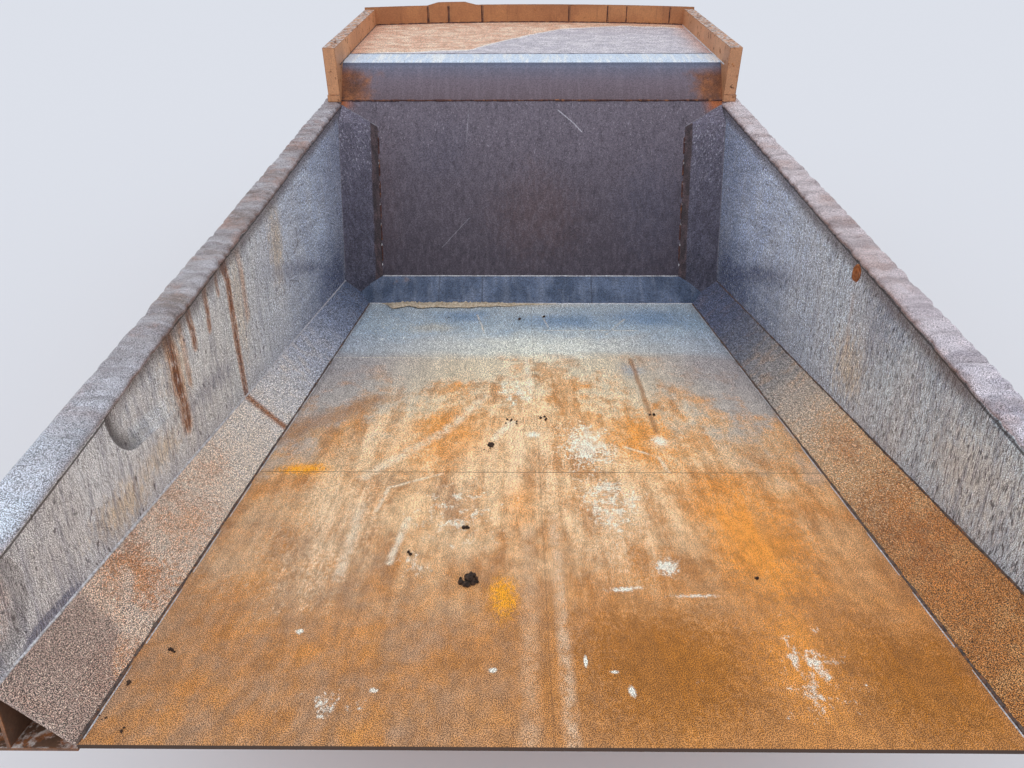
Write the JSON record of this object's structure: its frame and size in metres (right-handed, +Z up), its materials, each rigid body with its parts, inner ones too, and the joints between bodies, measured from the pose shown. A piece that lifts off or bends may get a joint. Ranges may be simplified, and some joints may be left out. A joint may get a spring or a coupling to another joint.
{
  "type": "haul truck dump body",
  "caption": "Tipping body of a rigid haul truck with sloping floor, corner plates, outside ribs, canopy and swinging rock ejectors, worn and rusty inside.",
  "frame": {"origin": "on the axis of the body pivot bores, midway between the two pairs of ears", "axes": "+X to the right as seen from behind, along the pivot axis, +Y forward to the canopy, +Z up with the top rails level as in travel"},
  "size_m": [4.11, 8.8266, 2.7496],
  "materials": {
    "wear_steel": "worn floor plate, orange rust behind, polished grey at the front",
    "liner_steel": "scoured grey steel with rust runs",
    "rail_steel": "battered bare steel",
    "orange_paint": "chipped orange paint over rust",
    "cast_steel": "rough rusty steel",
    "pad_rubber": "hard black rubber"
  },
  "bodies": {
    "body": {"body_guides": "orange_paint", "body_pads": "pad_rubber", "canopy_cross_beams": "orange_paint", "canopy_lip": "orange_paint", "canopy_nose_beam": "orange_paint", "canopy_plate": "liner_steel", "canopy_side_left": "orange_paint", "canopy_side_right": "orange_paint", "corner_gusset_left": "liner_steel", "corner_gusset_right": "liner_steel", "corner_plate_left": "liner_steel", "corner_plate_right": "liner_steel", "ejector_bracket_left": "orange_paint", "ejector_bracket_right": "orange_paint", "floor_bolsters": "orange_paint", "floor_front_left": "wear_steel", "floor_front_right": "wear_steel", "floor_middle_left": "wear_steel", "floor_middle_right": "wear_steel", "floor_rear_left": "wear_steel", "floor_rear_right": "wear_steel", "head_cross_beams": "orange_paint", "head_fillet_plate": "liner_steel", "head_post_left": "orange_paint", "head_post_right": "orange_paint", "head_ribs": "orange_paint", "headboard": "liner_steel", "headboard_knee": "liner_steel", "hoist_brackets_left": "orange_paint", "hoist_brackets_right": "orange_paint", "main_beam_left": "orange_paint", "main_beam_right": "orange_paint", "pivot_ears_left": "orange_paint", "pivot_ears_right": "orange_paint", "side_ribs_left": "orange_paint", "side_ribs_right": "orange_paint", "side_wall_left": "liner_steel", "side_wall_right": "liner_steel", "strap_lugs": "orange_paint", "tail_beam": "orange_paint", "tail_post_left": "orange_paint", "tail_post_right": "orange_paint", "top_rail_left": "rail_steel", "top_rail_right": "rail_steel"},
    "ejector_left": {"rock_ejector_left": "cast_steel"},
    "ejector_right": {"rock_ejector_right": "cast_steel"}
  },
  "joints": [
    {"name": "ejector_left_swing", "type": "hinge", "parent": "body", "child": "ejector_left", "pos_m": [-1.32, 0.3809, 0.15302], "axis": [1, 0, 0], "range_deg": [-35, 35]},
    {"name": "ejector_right_swing", "type": "hinge", "parent": "body", "child": "ejector_right", "pos_m": [1.32, 0.3809, 0.15302], "axis": [1, 0, 0], "range_deg": [-35, 35]}
  ]
}
